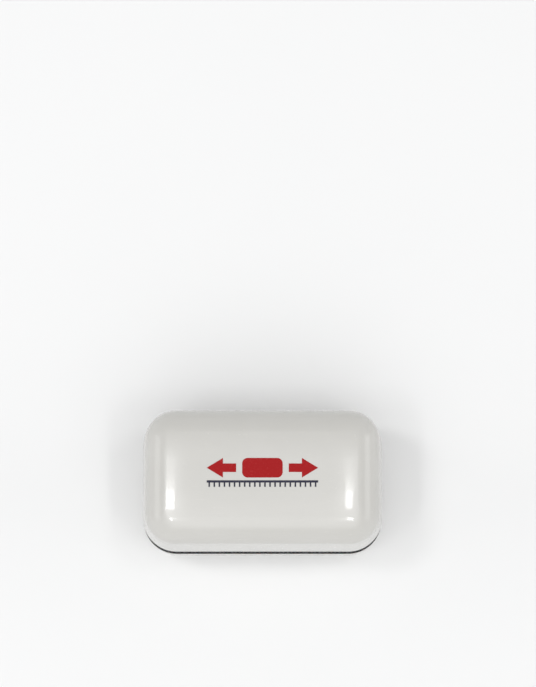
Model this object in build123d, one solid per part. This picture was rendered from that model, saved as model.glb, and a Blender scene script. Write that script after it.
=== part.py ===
from build123d import *

import math
import os

# A small floating magnetic glass cleaner: two domed plastic halves that pull together through a pane of
# aquarium glass. The lower, wet half carries a hook-faced scrub pad and holds enough air to float. The
# upper, dry half is the handle and carries a felt pad.
# Lengths are millimetres and angles degrees. +X runs along the halves, +Y across them and +Z up through
# both. The origin is on the table, under the middle, with the wet half's face resting on the table.

# Driving dimensions of one half. In its own frame z = 0 is the rim, next to the pad, and +z leads to its
# face, which is flat in the middle and falls away around that in gentle arcs.
body_length = 48.0
body_width = 28.0
body_height = 13.5
corner_radius = 6.8
flank_draft = 4.0
edge_radius = 5.4
flat_length = 24.0
flat_width = 6.6
crown_radius_along = 45.0
crown_radius_across = 60.0
crown_turn = 28.0
wall = 1.5
rim_round = 0.3

# The plate that closes a half sits in a rebate inside the rim.
rebate_inset = 0.8
plate_thickness = 1.6
plate_play = 0.1
tongue_inset = 1.95
tongue_thickness = 1.0
tongue_height = 1.8
seal_thickness = 0.6
seal_width = 0.7

# Pads, and the adhesive films under them and under the magnets.
pad_inset = 0.05
pad_proud = 2.4
pads_apart = 0.1
hook_height = 1.6
film_thickness = 0.15

# Block magnets, standing side by side on the closing plate in low-walled pockets.
outer_magnet = Vector(18.0, 13.0, 4.0)
inner_magnet = Vector(14.0, 9.0, 3.0)
magnet_gap = 2.4
magnet_chamfer = 0.3
pocket_play = 0.15
pocket_wall = 1.0
pocket_height = 2.2

# What holds the magnets down: a steel yoke under foam in the dry half, a staked bridge in the wet half.
yoke_thickness = 1.0
yoke_margin = 0.9
yoke_corner = 1.0
foam_length = 20.0
foam_width = 14.0
foam_clearance = 0.2
bridge_length = 38.0
bridge_width = 6.5
bridge_thickness = 1.0
bridge_corner = 1.5
post_radius = 1.3
post_spacing = 34.0
post_play = 0.05
stake_height = 0.9
stake_radius = 1.8
stake_round = 0.5

# Stiffening ribs across the roof of each cover.
rib_spacing = 25.0
rib_thickness = 1.0
rib_depth = 3.0

# The generic mark printed on the dry half's face, a little above its middle: a block that slides left and
# right, over a short rule.
mark_length = 22.0
mark_rise = 0.3
slider_height = 3.9
slider_block = 8.0
slider_corner = 1.1
slider_gap = 1.2
arrow_head = 3.2
arrow_shaft = 1.7
mark_gap = 0.55
rule_line = 0.45
rule_tick = Vector(0.3, 0.85)
rule_pitch = 1.0
ink_thickness = 0.04

# Worked out from the above.
rim_gap = 2 * pad_proud + pads_apart
outer_rim_z = body_height + rim_gap
roof_z = body_height - wall
magnet_floor = plate_thickness + film_thickness
hook_root = hook_height - pad_proud
mark_top = mark_rise + (slider_height + mark_gap + rule_line + rule_tick.Y) / 2


def rim_outline(inset):
    """The body's outline at its rim, moved inwards by an even inset."""
    return RectangleRounded(body_length - 2 * inset, body_width - 2 * inset, corner_radius - inset)


def slab(inset, low, high):
    """A flat slab that follows the body's outline, inset from it, between two heights."""
    return extrude(Plane.XY.offset(low) * rim_outline(inset), high - low)


def block(size, x, low):
    """A rectangular block that stands at x on the plane z = low."""
    return Pos(x, 0, low) * Box(*size, align=(Align.CENTER, Align.CENTER, Align.MIN))


def crown(drop):
    """A block whose top is flat in the middle and falls away to all four sides in tangent arcs.

    The top is body_height - drop high, and the arcs shrink by the same drop, which keeps the wall even.
    """
    height, radius = body_height - drop, crown_radius_across - drop
    flat, side = flat_width / 2, body_width / 2 + 1
    low = height - radius + math.sqrt(radius**2 - (side - flat) ** 2)
    section = make_face(
        [
            Line((-flat, height), (flat, height)),
            TangentArc((flat, height), (side, low), tangent=(1, 0)),
            Polyline((side, low), (side, -1), (-side, -1), (-side, low)),
            TangentArc((-flat, height), (-side, low), tangent=(-1, 0)),
        ]
    )
    block_shape = extrude(Plane.YZ * section, flat_length / 2, both=True)
    bend = Vector(flat_length / 2, 0, height - crown_radius_along + drop)
    end = revolve(Plane.YZ.offset(flat_length / 2) * section, Axis(bend, (0, 1, 0)), crown_turn)
    return block_shape + end + mirror(end, Plane.YZ)


def pillow(inset, edge):
    """The body's outer shape, moved inwards by an even inset, with its upper edge rounded."""
    solid = extrude(rim_outline(inset), body_height + 1, taper=flank_draft) & crown(inset)
    face = solid.faces().filter_by(lambda f: f.normal_at().Z > 0.5)
    flank = solid.faces().filter_by(lambda f: abs(f.normal_at().Z) < 0.5)
    return fillet(face.edges() & flank.edges(), edge)


def cover(rebate_depth):
    """A deep moulded cover: a hollow pillow with a rebate inside its rim and two ribs under its roof."""
    outside = pillow(0, edge_radius)
    rim = outside.faces().sort_by(Axis.Z)[0].edges()
    cavity = pillow(wall, edge_radius - wall)
    shell = fillet(outside.edges() & rim, rim_round) - cavity - slab(rebate_inset, -1, rebate_depth)
    for x in (-rib_spacing / 2, rib_spacing / 2):
        rib = block(Vector(rib_thickness, body_width, rib_depth + wall), x, roof_z - rib_depth)
        shell += rib & pillow(wall / 2, edge_radius - wall / 2)
    return shell


def pocket(size, x):
    """The low wall that locates one magnet on the closing plate."""
    hole = Vector(size.X + 2 * pocket_play, size.Y + 2 * pocket_play, pocket_height)
    outside = Vector(hole.X + 2 * pocket_wall, hole.Y + 2 * pocket_wall, pocket_height)
    return block(outside, x, plate_thickness) - block(hole, x, plate_thickness)


def magnet_places(size):
    """Where the two magnets stand along x."""
    x = (size.X + magnet_gap) / 2
    return (-x, x)


def base_plate(size):
    """The plate that closes a half, flush with its rim, with its tongue and a pocket for each magnet."""
    plate = slab(rebate_inset + plate_play, 0, plate_thickness)
    top = plate_thickness + tongue_height
    plate += slab(tongue_inset, plate_thickness, top)
    plate -= slab(tongue_inset + tongue_thickness, plate_thickness, top)
    for x in magnet_places(size):
        plate += pocket(size, x)
    return plate


def magnet(size, x):
    """One nickel-plated block magnet with broken edges."""
    solid = block(size, x, magnet_floor)
    return chamfer(solid.edges(), magnet_chamfer)


def magnet_films(size):
    """The adhesive film under each magnet."""
    film = Vector(size.X, size.Y, film_thickness)
    return [block(film, x, plate_thickness) for x in magnet_places(size)]


def pad(low, high):
    """A layer of a pad between two heights. A pad covers the rim and the plate, and stands out from them."""
    return slab(pad_inset, low, high)


def yoke():
    """The steel strip that ties the dry half's two magnets into one circuit."""
    length = 2 * outer_magnet.X + magnet_gap + 2 * yoke_margin
    width = outer_magnet.Y - 2 * magnet_chamfer
    strip = block(Vector(length, width, yoke_thickness), 0, magnet_floor + outer_magnet.Z)
    return fillet(strip.edges().filter_by(Axis.Z), yoke_corner)


def foam():
    """The foam block that presses the yoke and its magnets against the plate."""
    low = magnet_floor + outer_magnet.Z + yoke_thickness
    height = roof_z - foam_clearance - low
    return block(Vector(foam_length, foam_width, height), 0, low)


def post_places():
    """The two posts of the wet half's plate that hold the bridge."""
    return [Pos(x, 0, 0) for x in (-post_spacing / 2, post_spacing / 2)]


def bridge():
    """The plastic bar that clamps the wet half's magnets, with a hole for each post."""
    low = magnet_floor + inner_magnet.Z
    bar = block(Vector(bridge_length, bridge_width, bridge_thickness), 0, low)
    bar = fillet(bar.edges().filter_by(Axis.Z), bridge_corner)
    for place in post_places():
        bar -= place * Pos(0, 0, low) * Cylinder(post_radius + post_play, 4 * bridge_thickness)
    return bar


def posts():
    """The posts themselves, each with the flattened head that the hot stake leaves."""
    top = magnet_floor + inner_magnet.Z + bridge_thickness
    base = (Align.CENTER, Align.CENTER, Align.MIN)
    stem = Cylinder(post_radius, top - plate_thickness, align=base)
    head = Pos(0, 0, top - plate_thickness) * Cylinder(stake_radius, stake_height, align=base)
    head = fillet(head.edges().sort_by(Axis.Z)[-1], stake_round)
    return [place * Pos(0, 0, plate_thickness) * (stem + head) for place in post_places()]


def seal():
    """The flat rubber ring squeezed between the wet half's plate and the step in its cover."""
    inset = rebate_inset + plate_play
    low, high = plate_thickness, plate_thickness + seal_thickness
    return slab(inset, low, high) - slab(inset + seal_width, low, high)


def ink(outline):
    """A printed area: a thin raised layer on the flat of the face."""
    return extrude(Pos(0, 0, body_height) * outline, ink_thickness)


def printed_slider():
    """The rounded block with an arrow on each side of it."""
    y = mark_top - slider_height / 2
    tip, tail = mark_length / 2, slider_block / 2 + slider_gap
    neck = tip - arrow_head
    half_shaft, half_head = arrow_shaft / 2, slider_height / 2
    shaft = [(neck, half_shaft), (tail, half_shaft), (tail, -half_shaft), (neck, -half_shaft)]
    arrow = make_face(Polyline(*shaft, (neck, -half_head), (tip, 0), (neck, half_head), close=True))
    block_outline = RectangleRounded(slider_block, slider_height, slider_corner)
    return [ink(Pos(0, y) * outline) for outline in (block_outline, arrow, Rot(0, 0, 180) * arrow)]


def printed_rule():
    """The dark rule under it: a thin line with evenly spaced ticks hanging from it."""
    line_top = mark_top - slider_height - mark_gap
    rule = Pos(0, line_top - rule_line / 2) * Rectangle(mark_length, rule_line)
    tick_height = rule_line + rule_tick.Y
    for place in GridLocations(rule_pitch, 0, int(mark_length / rule_pitch), 1):
        rule += Pos(0, line_top - tick_height / 2) * place * Rectangle(rule_tick.X, tick_height)
    return ink(rule)


def save(name, shape, place):
    """Writes one node, with its solids side by side if it has several."""
    solids = [place * s for s in (shape if isinstance(shape, list) else [shape])]
    whole = Compound(children=[s for part in solids for s in part.solids()])
    export_step(whole, f"parts/{name}.step")
    print(name, "volume", round(sum(s.volume for s in whole.solids()), 1))


os.makedirs("parts", exist_ok=True)

outer = Pos(0, 0, outer_rim_z)
inner = Pos(0, 0, body_height) * Rot(180, 0, 0)

wet_plate = base_plate(inner_magnet)
for post in posts():
    wet_plate += post

save("outer_cover", cover(plate_thickness), outer)
save("outer_base_plate", base_plate(outer_magnet), outer)
save("outer_magnet_films", magnet_films(outer_magnet), outer)
save("outer_yoke_plate", yoke(), outer)
save("outer_foam_packing", foam(), outer)
save("outer_pad_film", pad(-film_thickness, 0), outer)
save("outer_felt_pad", pad(-pad_proud, -film_thickness), outer)
save("printed_slider", printed_slider(), outer)
save("printed_rule", printed_rule(), outer)

save("inner_cover", cover(plate_thickness + seal_thickness), inner)
save("inner_base_plate", wet_plate, inner)
save("inner_magnet_films", magnet_films(inner_magnet), inner)
save("inner_magnet_bridge", bridge(), inner)
save("inner_seal_ring", seal(), inner)
save("inner_pad_film", pad(-film_thickness, 0), inner)
save("inner_scrub_backing", pad(hook_root, -film_thickness), inner)
save("inner_scrub_hooks", pad(-pad_proud, hook_root), inner)

for half, size, place in (("outer", outer_magnet, outer), ("inner", inner_magnet, inner)):
    for pole, x in zip(("north", "south"), magnet_places(size)):
        save(f"{half}_magnet_{pole}", magnet(size, x), place)
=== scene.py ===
import math
import random

import bpy
import numpy as np
from mathutils import Euler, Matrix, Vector, noise


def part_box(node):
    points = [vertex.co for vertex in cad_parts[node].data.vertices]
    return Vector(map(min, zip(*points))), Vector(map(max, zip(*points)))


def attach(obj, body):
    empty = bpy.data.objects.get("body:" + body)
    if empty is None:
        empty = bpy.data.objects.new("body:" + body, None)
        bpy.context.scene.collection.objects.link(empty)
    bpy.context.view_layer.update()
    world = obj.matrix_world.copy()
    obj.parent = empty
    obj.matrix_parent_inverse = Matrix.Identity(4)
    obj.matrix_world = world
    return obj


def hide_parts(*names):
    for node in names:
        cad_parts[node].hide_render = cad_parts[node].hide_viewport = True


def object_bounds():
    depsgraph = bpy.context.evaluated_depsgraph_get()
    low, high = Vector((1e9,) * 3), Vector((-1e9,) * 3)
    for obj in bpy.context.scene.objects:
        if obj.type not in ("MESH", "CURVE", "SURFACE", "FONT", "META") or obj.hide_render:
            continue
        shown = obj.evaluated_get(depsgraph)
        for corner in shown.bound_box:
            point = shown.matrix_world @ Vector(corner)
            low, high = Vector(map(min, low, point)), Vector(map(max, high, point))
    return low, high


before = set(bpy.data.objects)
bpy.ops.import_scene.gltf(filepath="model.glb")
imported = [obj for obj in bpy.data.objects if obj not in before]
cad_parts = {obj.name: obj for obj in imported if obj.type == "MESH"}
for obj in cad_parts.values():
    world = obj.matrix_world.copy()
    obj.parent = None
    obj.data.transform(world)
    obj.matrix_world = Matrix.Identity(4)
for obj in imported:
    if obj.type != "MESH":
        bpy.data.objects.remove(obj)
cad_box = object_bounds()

# The looks of a small floating magnetic glass cleaner, lying closed on a pale table.
# Everything is in metres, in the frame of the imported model: the pads face each other half way up.

MM = 0.001
random.seed(11)
chance = np.random.default_rng(11)


# ---------------------------------------------------------------- procedural materials

class Shader:
    """One material: a Principled shader, and pattern nodes that read the place on the object."""

    def __init__(self, name, **constants):
        self.material = bpy.data.materials.new(name)
        self.material.use_nodes = True
        self.tree = self.material.node_tree
        self.bsdf = self.tree.nodes["Principled BSDF"]
        self.place = self.node("TexCoord").outputs["Object"]
        for socket, value in constants.items():
            self.set(socket, value)

    def _fill(self, node, socket, value):
        target = node.inputs[socket.replace("_", " ")]
        if isinstance(value, bpy.types.NodeSocket):
            self.tree.links.new(value, target)
        else:
            target.default_value = value

    def set(self, socket, value):
        """Gives one socket of the shader a plain value, or a pattern."""
        self._fill(self.bsdf, socket, value)

    def node(self, kind, settings=None, **inputs):
        node = self.tree.nodes.new("ShaderNode" + kind)
        for key, value in (settings or {}).items():
            setattr(node, key, value)
        for socket, value in inputs.items():
            self._fill(node, socket, value)
        return node

    def stretched(self, stretch):
        """The place, scaled along each axis, for patterns that run one way."""
        return self.node("Mapping", Vector=self.place, Scale=stretch).outputs["Vector"]

    def noise(self, size, detail=2.0, roughness=0.5, stretch=None, distortion=0.0):
        """Soft noise from 0 to 1, with grains of about that size in metres."""
        place = self.stretched(stretch) if stretch else self.place
        found = self.node("TexNoise", Vector=place, Scale=1 / size, Detail=detail, Roughness=roughness,
                          Distortion=distortion)
        return found.outputs["Fac"]

    def cells(self, size, feature="F1", stretch=None):
        """Distance from cell centres, from 0 up, with cells of about that size in metres."""
        place = self.stretched(stretch) if stretch else self.place
        found = self.node("TexVoronoi", {"feature": feature}, Vector=place, Scale=1 / size)
        return found.outputs["Distance"]

    def span(self, value, low, high, to_low=0.0, to_high=1.0):
        """Maps low..high of a pattern to another range, and clamps it there."""
        found = self.node("MapRange", {"clamp": True}, Value=value, From_Min=low, From_Max=high,
                          To_Min=to_low, To_Max=to_high)
        return found.outputs["Result"]

    def math(self, operation, first, second):
        node = self.node("Math", {"operation": operation})
        for index, value in enumerate((first, second)):
            if isinstance(value, bpy.types.NodeSocket):
                self.tree.links.new(value, node.inputs[index])
            else:
                node.inputs[index].default_value = value
        return node.outputs["Value"]

    def mix(self, share, first, second):
        """A blend of two colours by a pattern. The colour sockets of the node go by number."""
        node = self.node("Mix", {"data_type": "RGBA"})
        for index, value in ((0, share), (6, first), (7, second)):
            if isinstance(value, bpy.types.NodeSocket):
                self.tree.links.new(value, node.inputs[index])
            else:
                node.inputs[index].default_value = value
        return node.outputs[2]

    def bump(self, height, strength, depth, under=None):
        """A normal from a height pattern that is depth metres deep, on top of another normal."""
        node = self.node("Bump", Height=height, Strength=strength, Distance=depth)
        if under is not None:
            self.tree.links.new(under, node.inputs["Normal"])
        return node.outputs["Normal"]


def tint(red, green, blue):
    return (red, green, blue, 1.0)


def moulded_plastic(name, light, dark, gloss, coat):
    """Moulded plastic: a faint clouding of the colour, a fine skin and hairline handling marks.

    gloss is the roughness of its skin, and coat the weight of the clear gloss over it.
    """
    s = Shader(name, Specular_IOR_Level=0.5, Coat_Weight=coat, Coat_Roughness=0.06)
    cloud = s.noise(7 * MM, detail=3, stretch=(0.6, 1.0, 1.0))
    s.set("Base_Color", s.mix(s.span(cloud, 0.3, 0.7), light, dark))
    hairlines = s.noise(0.12 * MM, detail=1, stretch=(0.02, 1.0, 1.0), distortion=0.3)
    marks = s.span(hairlines, 0.68, 0.78, 0.0, 0.05)
    skin = s.span(s.noise(0.5 * MM, detail=4, roughness=0.6), 0.3, 0.7, gloss - 0.035, gloss + 0.035)
    s.set("Roughness", s.math("ADD", skin, marks))
    peel = s.bump(s.noise(1.6 * MM, detail=1), 0.10, 0.010 * MM)
    s.set("Normal", s.bump(s.noise(0.10 * MM, detail=2), 0.12, 0.004 * MM, peel))
    return s.material


def satin_plastic(name, light, dark):
    """Spark-eroded plastic: an even matt grain."""
    s = Shader(name, Specular_IOR_Level=0.45)
    s.set("Base_Color", s.mix(s.span(s.noise(4 * MM, detail=4), 0.3, 0.7), light, dark))
    s.set("Roughness", s.span(s.noise(0.3 * MM, detail=3), 0.3, 0.7, 0.42, 0.58))
    grain = s.bump(s.cells(0.11 * MM, "SMOOTH_F1"), 0.35, 0.02 * MM)
    s.set("Normal", s.bump(s.noise(0.9 * MM, detail=2), 0.15, 0.02 * MM, grain))
    return s.material


def printing_ink(name, full, thin):
    """Pad-printed ink: slightly thinner in spots, with the fine peel of a wet film that dried."""
    s = Shader(name, Specular_IOR_Level=0.12)
    thin_spots = s.span(s.noise(0.35 * MM, detail=4, roughness=0.7), 0.55, 0.8)
    s.set("Base_Color", s.mix(thin_spots, full, thin))
    s.set("Roughness", s.span(s.noise(0.25 * MM, detail=3), 0.3, 0.7, 0.34, 0.50))
    s.set("Normal", s.bump(s.noise(0.14 * MM, detail=3), 0.25, 0.006 * MM))
    return s.material


def felt_fabric(name, deep, fuzz):
    """Needle felt: matted fibres that run every way, over small needle dimples."""
    s = Shader(name, Specular_IOR_Level=0.15, Sheen_Weight=0.25, Sheen_Roughness=0.5)
    across = s.noise(0.09 * MM, detail=4, stretch=(0.16, 1.0, 1.0), distortion=1.6)
    along = s.noise(0.09 * MM, detail=4, stretch=(1.0, 0.16, 0.5), distortion=1.6)
    strands = s.math("MAXIMUM", across, along)
    s.set("Base_Color", s.mix(s.span(strands, 0.45, 0.75), deep, fuzz))
    s.set("Roughness", s.span(strands, 0.3, 0.8, 0.98, 0.82))
    dimples = s.bump(s.cells(1.3 * MM, "SMOOTH_F1"), 0.35, 0.25 * MM)
    s.set("Normal", s.bump(strands, 0.9, 0.12 * MM, dimples))
    return s.material


def nylon_strand(name, deep, light):
    """Black nylon wire: a drawn, slightly waxy skin."""
    s = Shader(name, Specular_IOR_Level=0.5, Sheen_Weight=0.05)
    s.set("Base_Color", s.mix(s.span(s.noise(0.8 * MM, detail=3), 0.35, 0.7), deep, light))
    s.set("Roughness", s.span(s.noise(0.2 * MM, detail=3), 0.3, 0.7, 0.30, 0.48))
    s.set("Normal", s.bump(s.noise(0.05 * MM, detail=2, stretch=(1.0, 1.0, 0.2)), 0.3, 0.01 * MM))
    return s.material


def woven_yarn(name, deep, light):
    """Black multifilament yarn, for the woven backing: fine filaments along each yarn."""
    s = Shader(name, Specular_IOR_Level=0.3, Sheen_Weight=0.15, Sheen_Roughness=0.4)
    warp = s.noise(0.05 * MM, detail=3, stretch=(1.0, 0.08, 1.0), distortion=0.4)
    weft = s.noise(0.05 * MM, detail=3, stretch=(0.08, 1.0, 1.0), distortion=0.4)
    filaments = s.math("MAXIMUM", warp, weft)
    s.set("Base_Color", s.mix(s.span(filaments, 0.4, 0.75), deep, light))
    s.set("Roughness", s.span(filaments, 0.3, 0.8, 0.85, 0.6))
    s.set("Normal", s.bump(filaments, 0.6, 0.05 * MM))
    return s.material


def nickel_plate(name):
    """Bright nickel over a sintered block: faint pits and a slow change of sheen."""
    s = Shader(name, Metallic=1.0)
    s.set("Base_Color", s.mix(s.noise(5 * MM, detail=3), tint(0.72, 0.69, 0.63), tint(0.60, 0.58, 0.54)))
    s.set("Roughness", s.span(s.noise(1.2 * MM, detail=5, roughness=0.65), 0.3, 0.7, 0.16, 0.34))
    pits = s.span(s.noise(0.22 * MM, detail=2), 0.62, 0.75)
    s.set("Normal", s.bump(pits, 0.4, -0.02 * MM))
    return s.material


def zinc_steel(name):
    """Zinc-plated strip: rolling lines along its length, and a fine spangle."""
    s = Shader(name, Metallic=1.0)
    spangle = s.cells(0.9 * MM)
    s.set("Base_Color", s.mix(spangle, tint(0.58, 0.60, 0.62), tint(0.44, 0.46, 0.49)))
    lines = s.noise(0.08 * MM, detail=3, stretch=(0.02, 1.0, 1.0))
    s.set("Roughness", s.span(lines, 0.3, 0.7, 0.28, 0.46))
    s.set("Normal", s.bump(lines, 0.3, 0.01 * MM))
    return s.material


def closed_foam(name):
    """Black closed-cell foam: small skinned bubbles of two sizes."""
    s = Shader(name, Specular_IOR_Level=0.25)
    big, small = s.cells(0.55 * MM, "SMOOTH_F1"), s.cells(0.22 * MM, "SMOOTH_F1")
    bubbles = s.math("MINIMUM", big, small)
    skin = s.span(bubbles, 0.1, 0.6)
    s.set("Base_Color", s.mix(skin, tint(0.012, 0.012, 0.013), tint(0.05, 0.05, 0.053)))
    s.set("Roughness", s.span(bubbles, 0.1, 0.6, 0.95, 0.75))
    s.set("Normal", s.bump(bubbles, 0.8, 0.15 * MM))
    return s.material


def nitrile_rubber(name):
    """Black rubber with a dusty bloom."""
    s = Shader(name, Specular_IOR_Level=0.35)
    bloom = s.span(s.noise(1.4 * MM, detail=5), 0.5, 0.8)
    s.set("Base_Color", s.mix(bloom, tint(0.014, 0.014, 0.015), tint(0.05, 0.05, 0.05)))
    s.set("Roughness", s.span(s.noise(0.3 * MM, detail=3), 0.3, 0.7, 0.55, 0.75))
    s.set("Normal", s.bump(s.noise(0.12 * MM, detail=2), 0.25, 0.01 * MM))
    return s.material


def tape_film(name):
    """Translucent acrylic tape: milky, with trapped bubbles."""
    s = Shader(name, Specular_IOR_Level=0.5, Subsurface_Weight=0.3, Subsurface_Scale=0.0005)
    bubbles = s.span(s.cells(1.1 * MM), 0.0, 0.25)
    s.set("Base_Color", s.mix(bubbles, tint(0.72, 0.71, 0.68), tint(0.64, 0.63, 0.60)))
    s.set("Roughness", s.span(s.noise(0.6 * MM, detail=3), 0.3, 0.7, 0.30, 0.55))
    s.set("Normal", s.bump(bubbles, 0.2, 0.02 * MM))
    return s.material


def pale_paper(name):
    """Pale, softly mottled paper. Far from the object it glows a little, to meet the tent unseen."""
    s = Shader(name, Specular_IOR_Level=0.1, Emission_Color=tint(1.0, 1.0, 1.0))
    away = s.node("VectorMath", {"operation": "LENGTH"}, Vector=s.place).outputs["Value"]
    s.set("Emission_Strength", s.span(away, 0.4, 1.6, 0.0, 0.113))
    s.set("Base_Color", s.mix(s.noise(0.05, detail=3), tint(0.845, 0.845, 0.845), tint(0.83, 0.83, 0.832)))
    s.set("Roughness", s.span(s.noise(0.8 * MM, detail=3), 0.3, 0.7, 0.75, 0.95))
    return s.material


cover_material = moulded_plastic(
    "cover_plastic", tint(0.560, 0.550, 0.524), tint(0.542, 0.532, 0.506), gloss=0.24, coat=0.5)
plate_material = satin_plastic("plate_plastic", tint(0.60, 0.60, 0.585), tint(0.54, 0.54, 0.53))
bridge_material = satin_plastic("bridge_plastic", tint(0.80, 0.785, 0.73), tint(0.74, 0.725, 0.67))
red_ink = printing_ink("red_ink", tint(0.33, 0.006, 0.008), tint(0.40, 0.03, 0.03))
dark_ink = printing_ink("dark_ink", tint(0.030, 0.030, 0.050), tint(0.09, 0.09, 0.11))
felt_material = felt_fabric("felt", tint(0.010, 0.010, 0.012), tint(0.060, 0.060, 0.066))
fibre_material = felt_fabric("felt_fibre", tint(0.020, 0.020, 0.022), tint(0.085, 0.085, 0.090))
hook_material = nylon_strand("hook_nylon", tint(0.012, 0.012, 0.014), tint(0.035, 0.035, 0.038))
backing_material = woven_yarn("backing_yarn", tint(0.012, 0.012, 0.013), tint(0.055, 0.055, 0.060))
foam_material = closed_foam("packing_foam")

finishes = {
    "outer_cover": cover_material,
    "inner_cover": cover_material,
    "outer_base_plate": plate_material,
    "inner_base_plate": plate_material,
    "inner_magnet_bridge": bridge_material,
    "printed_slider": red_ink,
    "printed_rule": dark_ink,
    "outer_yoke_plate": zinc_steel("yoke_steel"),
    "inner_seal_ring": nitrile_rubber("seal_rubber"),
}
magnet_material = nickel_plate("magnet_nickel")
film_material = tape_film("adhesive_film")
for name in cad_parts:
    if "film" in name:
        finishes[name] = film_material
    elif "magnet_north" in name or "magnet_south" in name:
        finishes[name] = magnet_material

for name, material in finishes.items():
    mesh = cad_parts[name].data
    mesh.materials.clear()
    mesh.materials.append(material)


# ---------------------------------------------------------------- mesh builders

def new_piece(name, points, faces, material, body):
    """A smooth-shaded mesh that rides on a body, with the one material it is given."""
    mesh = bpy.data.meshes.new(name)
    mesh.from_pydata([tuple(p) for p in points], [], faces)
    mesh.materials.append(material)
    mesh.shade_smooth()
    piece = bpy.data.objects.new(name, mesh)
    bpy.context.scene.collection.objects.link(piece)
    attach(piece, body)
    return piece


def rounded_point(x, y, half_x, half_y, corner):
    """Bends a point of a plain rectangle so that the rectangle's corners become quarter circles."""
    a = (abs(x) - (half_x - corner)) / corner
    b = (abs(y) - (half_y - corner)) / corner
    if a <= 0 or b <= 0:
        return x, y
    bent_x = half_x - corner + corner * a * math.sqrt(1 - b * b / 2)
    bent_y = half_y - corner + corner * b * math.sqrt(1 - a * a / 2)
    return math.copysign(bent_x, x), math.copysign(bent_y, y)


def rounded_slab(half_x, half_y, corner, profile, cell, lift=None):
    """A closed slab with rounded corners, in cells of one size.

    profile is (inset, z) from its lower rim to its upper rim. lift(x, y) raises points of the upper face.
    """
    columns, rows = round(2 * half_x / cell), round(2 * half_y / cell)

    def at(i, j, inset, z):
        hx, hy = half_x - inset, half_y - inset
        x, y = hx * (2 * i / columns - 1), hy * (2 * j / rows - 1)
        return (*rounded_point(x, y, hx, hy, corner - inset), z)

    points, faces = [], []
    grids = []
    for inset, z in (profile[0], profile[-1]):
        grids.append(len(points))
        points += [at(i, j, inset, z) for i in range(columns + 1) for j in range(rows + 1)]
    if lift is not None:
        points[grids[1]:] = [(x, y, z + lift(x, y)) for x, y, z in points[grids[1]:]]
    for i in range(columns):
        for j in range(rows):
            a, b = i * (rows + 1) + j, (i + 1) * (rows + 1) + j
            faces.append((a, a + 1, b + 1, b))
            faces.append(tuple(grids[1] + k for k in (a, b, b + 1, a + 1)))
    loop = [(i, 0) for i in range(columns)] + [(columns, j) for j in range(rows)]
    loop += [(i, rows) for i in range(columns, 0, -1)] + [(0, j) for j in range(rows, 0, -1)]
    rings = [[i * (rows + 1) + j for i, j in loop]]
    for inset, z in profile[1:-1]:
        rings.append(list(range(len(points), len(points) + len(loop))))
        points += [at(i, j, inset, z) for i, j in loop]
    rings.append([grids[1] + k for k in rings[0]])
    for lower, upper in zip(rings, rings[1:]):
        for k in range(len(loop)):
            n = (k + 1) % len(loop)
            faces.append((lower[k], lower[n], upper[n], upper[k]))
    return points, faces


def tubes(paths, across, radius, sides):
    """Thin closed tubes along paths, an array of tubes by points by 3.

    across is one vector for each tube that isn't in line with it.
    """
    count, steps = paths.shape[:2]
    along = np.gradient(paths, axis=1)
    along /= np.linalg.norm(along, axis=2, keepdims=True)
    first = np.cross(along, across[:, None, :])
    first /= np.linalg.norm(first, axis=2, keepdims=True)
    second = np.cross(along, first)
    angles = np.arange(sides) * 2 * math.pi / sides
    ring = first[:, :, None] * np.cos(angles)[:, None] + second[:, :, None] * np.sin(angles)[:, None]
    points = (paths[:, :, None] + ring * radius).reshape(-1, 3)
    faces = []
    for t in range(count):
        base = t * steps * sides
        for k in range(steps - 1):
            low, high = base + k * sides, base + (k + 1) * sides
            for s in range(sides):
                n = (s + 1) % sides
                faces.append((low + s, low + n, high + n, high + s))
        last = base + (steps - 1) * sides
        faces.append(tuple(range(base + sides - 1, base - 1, -1)))
        faces.append(tuple(range(last, last + sides)))
    return points, faces


def roughen(piece, size, depth):
    """Moves a mesh's points in and out along their normals, by noise with grains of that size."""
    moves = [v.normal * (noise.fractal(v.co / size, 0.7, 2.0, 3) * depth) for v in piece.data.vertices]
    for vertex, move in zip(piece.data.vertices, moves):
        vertex.co += move
    piece.data.update()


# ---------------------------------------------------------------- the pads

def box_of(name):
    low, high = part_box(name)
    return low, high, (high.x - low.x) / 2, (high.y - low.y) / 2


PAD_CORNER = 6.75 * MM       # corner radius of both pads, seen from above
FELT_CELL = 0.4 * MM
FIBRE_COUNT = 5200
FIBRE_RADIUS = 0.011 * MM
FIBRE_ROOT = 0.05 * MM       # how deep in the felt a loose fibre starts

felt_low, felt_high, half_x, half_y = box_of("outer_felt_pad")
felt_profile = [
    (0.55 * MM, felt_low.z),
    (0.28 * MM, felt_low.z + 0.06 * MM),
    (0.13 * MM, felt_low.z + 0.22 * MM),
    (0.07 * MM, felt_low.z + 0.50 * MM),
    (0.11 * MM, felt_low.z + 0.95 * MM),
    (0.10 * MM, felt_low.z + 1.40 * MM),
    (0.08 * MM, felt_low.z + 1.90 * MM),
    (0.10 * MM, felt_high.z),
]
points, faces = rounded_slab(half_x, half_y, PAD_CORNER, felt_profile, FELT_CELL)
felt = new_piece("felt_pad", points, faces, felt_material, "dry_half")
roughen(felt, 0.9 * MM, 0.05 * MM)
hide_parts("outer_felt_pad")


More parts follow.
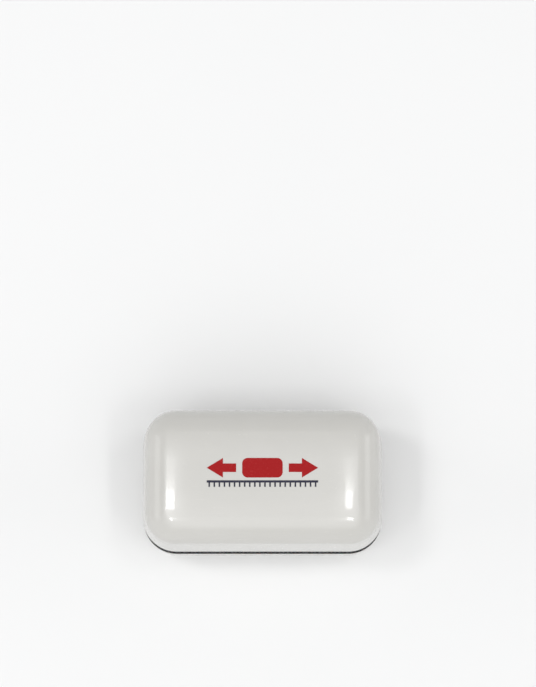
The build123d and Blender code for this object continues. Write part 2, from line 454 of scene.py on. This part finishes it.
def felt_fibres(pad, count):
    """Loose fibres that lift off a felt pad: nearly flat on its face, and standing out at its sides."""
    glued_edge = 0.5 * MM        # no fibre starts this close to the glued face
    upright = 0.6                # a polygon whose normal rises or falls less than this is at the side
    more_at_sides = 3.0          # how much denser the fibres are there
    polygons = [p for p in pad.data.polygons if p.center.z < felt_high.z - glued_edge]
    side = np.array([abs(p.normal.z) < upright for p in polygons])
    area = np.array([p.area for p in polygons]) * np.where(side, more_at_sides, 1.0)
    picked = chance.choice(len(polygons), count, p=area / area.sum())
    centres = np.array([polygons[k].center for k in picked])
    normals = np.array([polygons[k].normal for k in picked])
    on_side = side[picked]
    wild = chance.normal(size=(count, 3))
    flat = wild - normals * (wild * normals).sum(1, keepdims=True)
    flat /= np.linalg.norm(flat, axis=1, keepdims=True)
    centres += flat * chance.uniform(-0.2, 0.2, (count, 1)) * MM
    length = chance.uniform(0.30, 0.85, (count, 1)) * MM
    side_rise, face_rise = chance.uniform(0.01, 0.10, count), chance.uniform(0.01, 0.05, count)
    rise = np.where(on_side, side_rise, face_rise)[:, None] * MM
    swirl = np.cross(normals, flat) * chance.uniform(-0.35, 0.35, (count, 1))
    steps, arch = np.linspace(0, 1, 5), 2.2
    paths = np.stack([
        centres - normals * FIBRE_ROOT
        + (flat * t + swirl * t * t) * length
        + normals * (rise + FIBRE_ROOT) * math.sin(t * arch)
        for t in steps
    ], axis=1)
    return tubes(paths, normals, FIBRE_RADIUS, 3)


points, faces = felt_fibres(felt, FIBRE_COUNT)
fibres = new_piece("felt_fibres", points, faces, fibre_material, "dry_half")

YARN_PITCH = 0.66 * MM
WEAVE_DEPTH = 0.16 * MM
BACKING_CELL = 0.17 * MM


def weave(x, y):
    """The height of a plain weave: each yarn is round across, and goes over and under those it crosses."""
    def yarn(across, along, turn):
        lane = math.floor(across / YARN_PITCH)
        offset = 2 * (across / YARN_PITCH - lane) - 1
        wave = 0.5 + 0.5 * math.sin(math.pi * (along / YARN_PITCH + lane + turn))
        return math.sqrt(max(0.0, 1 - offset * offset)) * wave
    return -WEAVE_DEPTH * (1 - max(yarn(x, y, 0.5), yarn(y, x, 1.5)))


back_low, back_high, half_x, half_y = box_of("inner_scrub_backing")
back_profile = [
    (0.05 * MM, back_low.z),
    (0.00 * MM, back_low.z + 0.15 * MM),
    (0.03 * MM, back_low.z + 0.50 * MM),
    (0.00 * MM, back_high.z - 0.18 * MM),
    (0.10 * MM, back_high.z),
]
points, faces = rounded_slab(half_x, half_y, PAD_CORNER, back_profile, BACKING_CELL, weave)
backing = new_piece("scrub_backing", points, faces, backing_material, "wet_half")
roughen(backing, 0.3 * MM, 0.02 * MM)
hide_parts("inner_scrub_backing")


def rim_places(half_x, half_y, corner, pitch):
    """Evenly spaced points around a rounded rectangle, each with the angle of its outward normal."""
    straight_x, straight_y, arc = 2 * (half_x - corner), 2 * (half_y - corner), corner * math.pi / 2
    around = 2 * (straight_x + straight_y) + 4 * arc
    count = int(around / pitch)
    sides = ((straight_y, 1, -1), (straight_x, 1, 1), (straight_y, -1, 1), (straight_x, -1, -1))
    places = []
    for k in range(count):
        along, turn = k * around / count, 0.0
        for straight, x, y in sides:
            base = np.array([x * (half_x - corner), y * (half_y - corner)])
            out = np.array([math.cos(turn), math.sin(turn)])
            on = np.array([-math.sin(turn), math.cos(turn)])
            if along < straight:
                places.append((*(base + out * corner + on * along), turn))
                break
            along -= straight
            if along < arc:
                bent = turn + along / corner
                pivot = base + on * straight
                places.append((*(pivot + corner * np.array([math.cos(bent), math.sin(bent)])), bent))
                break
            along -= arc
            turn += math.pi / 2
    return places


def field_places(half_x, half_y, corner, pitch_x, pitch_y):
    """Points in staggered rows inside a rounded rectangle, each with the way its hook faces."""
    columns, rows = int(2 * half_x / pitch_x), int(2 * half_y / pitch_y)
    places = []
    for j in range(rows + 1):
        for i in range(columns + 1):
            x = (i - columns / 2) * pitch_x + random.uniform(-0.12, 0.12) * MM
            y = (j - rows / 2) * pitch_y + random.uniform(-0.10, 0.10) * MM
            x += (0.25 if j % 2 else -0.25) * pitch_x
            past_x, past_y = abs(x) - (half_x - corner), abs(y) - (half_y - corner)
            if max(past_x, past_y) < corner and math.hypot(max(past_x, 0), max(past_y, 0)) < corner:
                forward = (j % 2 == 1) == (random.random() < 0.8)
                places.append((x, y, 0.0 if forward else math.pi))
    return places


def hook_pile(low, high):
    """Nylon hooks, each a stem that bends over at its top: a field of rows inside one row along the edge."""
    wire, bend, root_depth = 0.1 * MM, 0.30 * MM, 0.15 * MM
    edge, edge_pitch = 0.22 * MM, 0.80 * MM
    field, field_pitch_x, field_pitch_y = 0.75 * MM, 1.10 * MM, 1.00 * MM
    half_x, half_y, corner = (high.x - low.x) / 2 - edge, (high.y - low.y) / 2 - edge, PAD_CORNER - edge
    turns = np.radians(np.linspace(180, -35, 9))
    places = [(x, y, turn + random.choice((-1, 1)) * math.pi / 2)
              for x, y, turn in rim_places(half_x, half_y, corner, edge_pitch)]
    places += field_places(half_x - field, half_y - field, corner - field, field_pitch_x, field_pitch_y)
    paths, across = [], []
    for x, y, facing in places:
        angle = facing + random.uniform(-0.35, 0.35)
        ahead = np.array([math.cos(angle), math.sin(angle), 0.0])
        lean = random.uniform(-0.12, 0.12)
        top = high.z - low.z - wire - bend - random.uniform(0.0, 0.18) * MM
        root = np.array([x, y, low.z - root_depth])
        knee = root + np.array([0, 0, top + root_depth]) + ahead * lean * top
        centre = knee + ahead * bend
        path = [root, root * 0.5 + knee * 0.5]
        path += [centre + ahead * bend * math.cos(t) + np.array([0, 0, bend * math.sin(t)]) for t in turns]
        paths.append(path)
        across.append([-ahead[1], ahead[0], 0.0])
    return tubes(np.array(paths), np.array(across), wire, 6)


hooks_low, hooks_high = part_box("inner_scrub_hooks")
points, faces = hook_pile(hooks_low, hooks_high)
hooks = new_piece("scrub_hooks", points, faces, hook_material, "wet_half")
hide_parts("inner_scrub_hooks")


# ---------------------------------------------------------------- the foam packing inside the dry half

FOAM_CORNER = 1.2 * MM
FOAM_CELL = 0.4 * MM
FOAM_BULGE = 0.225 * MM      # how far the squeezed foam stands out half way up

foam_low, foam_high, half_x, half_y = box_of("outer_foam_packing")
foam_rise = foam_high.z - foam_low.z
foam_profile = [(0.15 * MM, foam_low.z)]
for share in (0.06, 0.2, 0.35, 0.5, 0.65, 0.8, 0.94):
    inset = 0.02 * MM + FOAM_BULGE * (1 - math.sin(math.pi * share))
    foam_profile.append((inset, foam_low.z + share * foam_rise))
foam_profile.append((0.3 * MM, foam_high.z))
points, faces = rounded_slab(half_x, half_y, FOAM_CORNER, foam_profile, FOAM_CELL)
foam = new_piece("foam_packing", points, faces, foam_material, "dry_half")
roughen(foam, 0.5 * MM, 0.06 * MM)
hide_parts("outer_foam_packing")

# ---------------------------------------------------------------- table, light and camera

TABLE_RADIUS = 6.0
TABLE_SIDES = 48

floor_mesh = bpy.data.meshes.new("table")
turns = [2 * math.pi * k / TABLE_SIDES for k in range(TABLE_SIDES)]
floor_mesh.from_pydata(
    [(TABLE_RADIUS * math.cos(t), TABLE_RADIUS * math.sin(t), 0) for t in turns],
    [], [tuple(range(TABLE_SIDES))])
floor_mesh.materials.append(pale_paper("pale_paper"))
table = bpy.data.objects.new("table", floor_mesh)
bpy.context.scene.collection.objects.link(table)


def light_tent(horizon, zenith, glow, lean, spread):
    """A white tent around the table, with a soft glow in its roof that leans some degrees to the front.

    horizon, zenith and glow are brightnesses. The glow reaches spread degrees from its middle.
    """
    world = bpy.data.worlds.new("studio")
    world.use_nodes = True
    nodes, links = world.node_tree.nodes, world.node_tree.links
    place = nodes.new("ShaderNodeTexCoord").outputs["Generated"]

    def bright(towards, start, low, high):
        """Goes from low to high as the cosine of the angle to a direction goes from start to 1."""
        nearness = nodes.new("ShaderNodeVectorMath")
        nearness.operation = "DOT_PRODUCT"
        nearness.inputs[1].default_value = towards
        blend = nodes.new("ShaderNodeMapRange")
        blend.interpolation_type = "SMOOTHSTEP"
        blend.inputs["From Min"].default_value = start
        blend.inputs["To Min"].default_value, blend.inputs["To Max"].default_value = low, high
        links.new(place, nearness.inputs[0])
        links.new(nearness.outputs["Value"], blend.inputs["Value"])
        return blend.outputs["Result"]

    total = nodes.new("ShaderNodeMath")
    leaning = (0, -math.sin(math.radians(lean)), math.cos(math.radians(lean)))
    links.new(bright((0, 0, 1), 0.0, horizon, zenith), total.inputs[0])
    links.new(bright(leaning, math.cos(math.radians(spread)), 0.0, glow), total.inputs[1])
    links.new(total.outputs["Value"], nodes["Background"].inputs["Strength"])
    nodes["Background"].inputs["Color"].default_value = (0.995, 1.0, 1.0, 1)
    return world


bpy.context.scene.world = light_tent(horizon=0.81, zenith=0.22, glow=1.62, lean=20, spread=45)
bpy.context.scene.view_settings.view_transform = "Standard"

middle = Vector((0, 0, (cad_box[0].z + cad_box[1].z) / 2))


def softbox(name, across, towards, distance, width, height, power):
    """An area light that faces the object from above, leaning some degrees to +X and towards the front.

    Its width runs along X, and its power is in watts.
    """
    light = bpy.data.lights.new(name, "AREA")
    light.shape, light.size, light.size_y, light.energy = "RECTANGLE", width, height, power
    lamp = bpy.data.objects.new(name, light)
    lean, pitch = math.radians(across), math.radians(towards)
    turn = Euler((math.atan(math.tan(pitch) * math.cos(lean)), lean, 0))
    lamp.rotation_euler = turn
    lamp.location = middle + turn.to_matrix() @ Vector((0, 0, distance))
    bpy.context.scene.collection.objects.link(lamp)


# Two strips draw the long highlights near the face's ends, two small lights the glints below them, and two
# wide ones fill the flanks.
NEAR, FAR = 0.9, 1.2         # how far the lights hang from the object
softbox("strip_right", 14.9, -3.4, NEAR, width=0.060, height=0.106, power=0.36)
softbox("strip_left", -20.5, -3.4, NEAR, width=0.15, height=0.106, power=0.90)
softbox("glint_right", 16.0, 13.0, NEAR, width=0.06, height=0.16, power=0.48)
softbox("glint_left", -18.0, 13.0, NEAR, width=0.06, height=0.16, power=0.52)
softbox("side_right", 62, 0, FAR, width=0.5, height=0.8, power=1.4)
softbox("side_left", -62, 0, FAR, width=0.5, height=0.8, power=1.4)

DISTANCE = 0.80               # from the camera to the object
VIEW_ELEVATION = 83.0         # of the line from the object to the camera
RIGHT_OF_CENTRE = 0.0011      # how far to the right of the object's middle the camera stands
OVER_CENTRE = 0.0286          # how far behind the object's middle the camera aims
LENS, SENSOR = 208.0, 36.0    # millimetres

camera_data = bpy.data.cameras.new("camera")
camera_data.lens, camera_data.sensor_width = LENS, SENSOR
camera_data.clip_start, camera_data.clip_end = 0.01, 30.0
camera = bpy.data.objects.new("camera", camera_data)
tilt = math.radians(VIEW_ELEVATION)
aim = middle + Vector((RIGHT_OF_CENTRE, OVER_CENTRE, 0))
camera.location = Vector((aim.x, 0, middle.z)) + Vector((0, -math.cos(tilt), math.sin(tilt))) * DISTANCE
camera.rotation_euler = (aim - camera.location).to_track_quat("-Z", "Y").to_euler()
bpy.context.scene.collection.objects.link(camera)
bpy.context.scene.camera = camera
